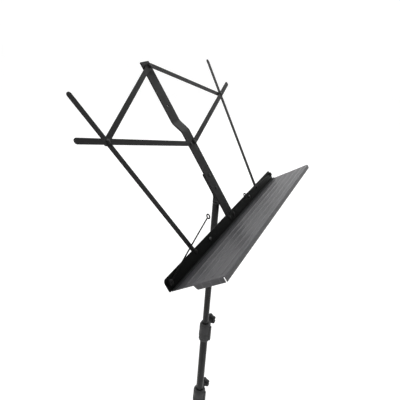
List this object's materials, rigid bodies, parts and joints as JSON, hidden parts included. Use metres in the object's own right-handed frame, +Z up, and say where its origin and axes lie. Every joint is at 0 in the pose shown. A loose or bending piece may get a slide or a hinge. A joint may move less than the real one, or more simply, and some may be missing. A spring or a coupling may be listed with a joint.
{
  "type": "music stand",
  "caption": "Tripod music stand with a tilting desk of riveted flat bars, a wide ribbed shelf, page wires, a telescopic pole and braced folding legs.",
  "frame": {"origin": "on the floor, under the middle of the stand's box", "axes": "+Z up, +X to the musician's right, +Y away from the musician"},
  "size_m": [0.5416, 0.469, 1.2404],
  "materials": {
    "satin_black_bar": "satin black powder coat",
    "gloss_black_ledge": "semi-gloss black paint",
    "grey_black_shelf": "worn satin grey-black paint on ribbed sheet",
    "dark_rivet": "blackened steel",
    "zinc_fastener": "zinc plated",
    "black_wire": "black coated spring wire",
    "black_tube": "smooth semi-gloss black paint",
    "black_plastic": "fine-textured moulded nylon",
    "black_rubber": "matt moulded rubber"
  },
  "bodies": {
    "desk": {"main_bar": "satin_black_bar", "tilt_bracket": "satin_black_bar", "ledge": "gloss_black_ledge", "music_shelf": "grey_black_shelf", "tilt_bolt": "dark_rivet", "crown_rivet": "dark_rivet", "bracket_rivet_1": "dark_rivet", "bracket_rivet_2": "dark_rivet", "side_bar_left": "satin_black_bar", "brace_bar_left": "satin_black_bar", "top_bar_left": "satin_black_bar", "corner_rivet_left": "dark_rivet", "ledge_rivet_left": "dark_rivet", "brace_rivet_left": "dark_rivet", "foot_rivet_left": "dark_rivet", "shelf_screw_left": "zinc_fastener", "page_wire_screw_left": "dark_rivet", "side_bar_right": "satin_black_bar", "brace_bar_right": "satin_black_bar", "top_bar_right": "satin_black_bar", "corner_rivet_right": "dark_rivet", "ledge_rivet_right": "dark_rivet", "brace_rivet_right": "dark_rivet", "foot_rivet_right": "dark_rivet", "shelf_screw_right": "zinc_fastener", "page_wire_screw_right": "dark_rivet"},
    "page_wire_left": {"page_wire_left": "black_wire"},
    "page_wire_right": {"page_wire_right": "black_wire"},
    "tilt_wing_nut": {"tilt_wing_nut": "dark_rivet"},
    "upper_pole": {"upper_tube": "black_tube", "upper_tube_plug": "black_plastic", "pole_head": "black_plastic"},
    "middle_pole": {"middle_tube": "black_tube", "middle_tube_plug": "black_plastic", "upper_clamp": "black_plastic"},
    "upper_clamp_knob": {"upper_clamp_knob": "black_plastic"},
    "base_pole": {"lower_tube": "black_tube", "lower_clamp": "black_plastic", "base_hub": "black_plastic", "hub_pin_1": "zinc_fastener", "hub_pin_2": "zinc_fastener", "hub_pin_3": "zinc_fastener"},
    "lower_clamp_knob": {"lower_clamp_knob": "black_plastic"},
    "leg_collar": {"leg_collar": "black_plastic", "leg_pin_1": "zinc_fastener", "leg_pin_2": "zinc_fastener", "leg_pin_3": "zinc_fastener"},
    "leg_collar_knob": {"leg_collar_knob": "black_plastic"},
    "leg_1": {"leg_1": "black_tube", "strut_pin_1": "zinc_fastener", "foot_1": "black_rubber"},
    "strut_1": {"strut_1": "black_tube"},
    "leg_2": {"leg_2": "black_tube", "strut_pin_2": "zinc_fastener", "foot_2": "black_rubber"},
    "strut_2": {"strut_2": "black_tube"},
    "leg_3": {"leg_3": "black_tube", "strut_pin_3": "zinc_fastener", "foot_3": "black_rubber"},
    "strut_3": {"strut_3": "black_tube"}
  },
  "joints": [
    {"name": "lower_height_slide", "type": "slide", "parent": "base_pole", "child": "middle_pole", "axis": [0, 0, 1], "range_m": [-0.11, 0.15]},
    {"name": "upper_height_slide", "type": "slide", "parent": "middle_pole", "child": "upper_pole", "axis": [0, 0, 1], "range_m": [-0.205, 0.15]},
    {"name": "desk_tilt", "type": "hinge", "parent": "upper_pole", "child": "desk", "pos_m": [0, -0.07296, 1.00069], "axis": [-1, 0, 0], "range_deg": [-20, 50]},
    {"name": "page_wire_left_swing", "type": "hinge", "parent": "desk", "child": "page_wire_left", "pos_m": [-0.247, -0.11084, 0.97185], "axis": [0, -0.8103, 0.5859], "range_deg": [-10, 80]},
    {"name": "page_wire_right_swing", "type": "hinge", "parent": "desk", "child": "page_wire_right", "pos_m": [0.247, -0.11084, 0.97185], "axis": [0, 0.8103, -0.5859], "range_deg": [-2, 86]},
    {"name": "tilt_wing_nut_turn", "type": "hinge", "parent": "desk", "child": "tilt_wing_nut", "pos_m": [0, -0.07296, 1.00069], "axis": [1, 0, 0], "range_deg": [-180, 180]},
    {"name": "upper_clamp_knob_turn", "type": "hinge", "parent": "middle_pole", "child": "upper_clamp_knob", "pos_m": [0, -0.07296, 0.6605], "axis": [1, 0, 0], "range_deg": [-180, 180]},
    {"name": "lower_clamp_knob_turn", "type": "hinge", "parent": "base_pole", "child": "lower_clamp_knob", "pos_m": [0, -0.07296, 0.4365], "axis": [1, 0, 0], "range_deg": [-180, 180]},
    {"name": "leg_collar_slide", "type": "slide", "parent": "base_pole", "child": "leg_collar", "axis": [0, 0, 1], "range_m": [0, 0.1153]},
    {"name": "leg_collar_knob_turn", "type": "hinge", "parent": "leg_collar", "child": "leg_collar_knob", "pos_m": [0, -0.07296, 0.2337], "axis": [-0.866, 0.5, 0], "range_deg": [-180, 180]},
    {"name": "leg_1_fold", "type": "hinge", "parent": "leg_collar", "child": "leg_1", "pos_m": [0, -0.04696, 0.2247], "axis": [-1, 0, 0], "range_deg": [0, 52]},
    {"name": "strut_1_fold", "type": "hinge", "parent": "leg_1", "child": "strut_1", "pos_m": [0, 0.07124, 0.13235], "axis": [-1, 0, 0], "range_deg": [-104, 0]},
    {"name": "leg_2_fold", "type": "hinge", "parent": "leg_collar", "child": "leg_2", "pos_m": [-0.02252, -0.08596, 0.2247], "axis": [0.5, -0.866, 0], "range_deg": [0, 52]},
    {"name": "strut_2_fold", "type": "hinge", "parent": "leg_2", "child": "strut_2", "pos_m": [-0.12488, -0.14506, 0.13235], "axis": [0.5, -0.866, 0], "range_deg": [-104, 0]},
    {"name": "leg_3_fold", "type": "hinge", "parent": "leg_collar", "child": "leg_3", "pos_m": [0.02252, -0.08596, 0.2247], "axis": [0.5, 0.866, 0], "range_deg": [0, 52]},
    {"name": "strut_3_fold", "type": "hinge", "parent": "leg_3", "child": "strut_3", "pos_m": [0.12488, -0.14506, 0.13235], "axis": [0.5, 0.866, 0], "range_deg": [-104, 0]}
  ],
  "couplings": [
    {"joint": "leg_1_fold", "follows": "leg_collar_slide", "rad_per_m": 7.8713},
    {"joint": "strut_1_fold", "follows": "leg_collar_slide", "rad_per_m": -15.742},
    {"joint": "leg_2_fold", "follows": "leg_collar_slide", "rad_per_m": 7.8713},
    {"joint": "strut_2_fold", "follows": "leg_collar_slide", "rad_per_m": -15.742},
    {"joint": "leg_3_fold", "follows": "leg_collar_slide", "rad_per_m": 7.8713},
    {"joint": "strut_3_fold", "follows": "leg_collar_slide", "rad_per_m": -15.742}
  ]
}
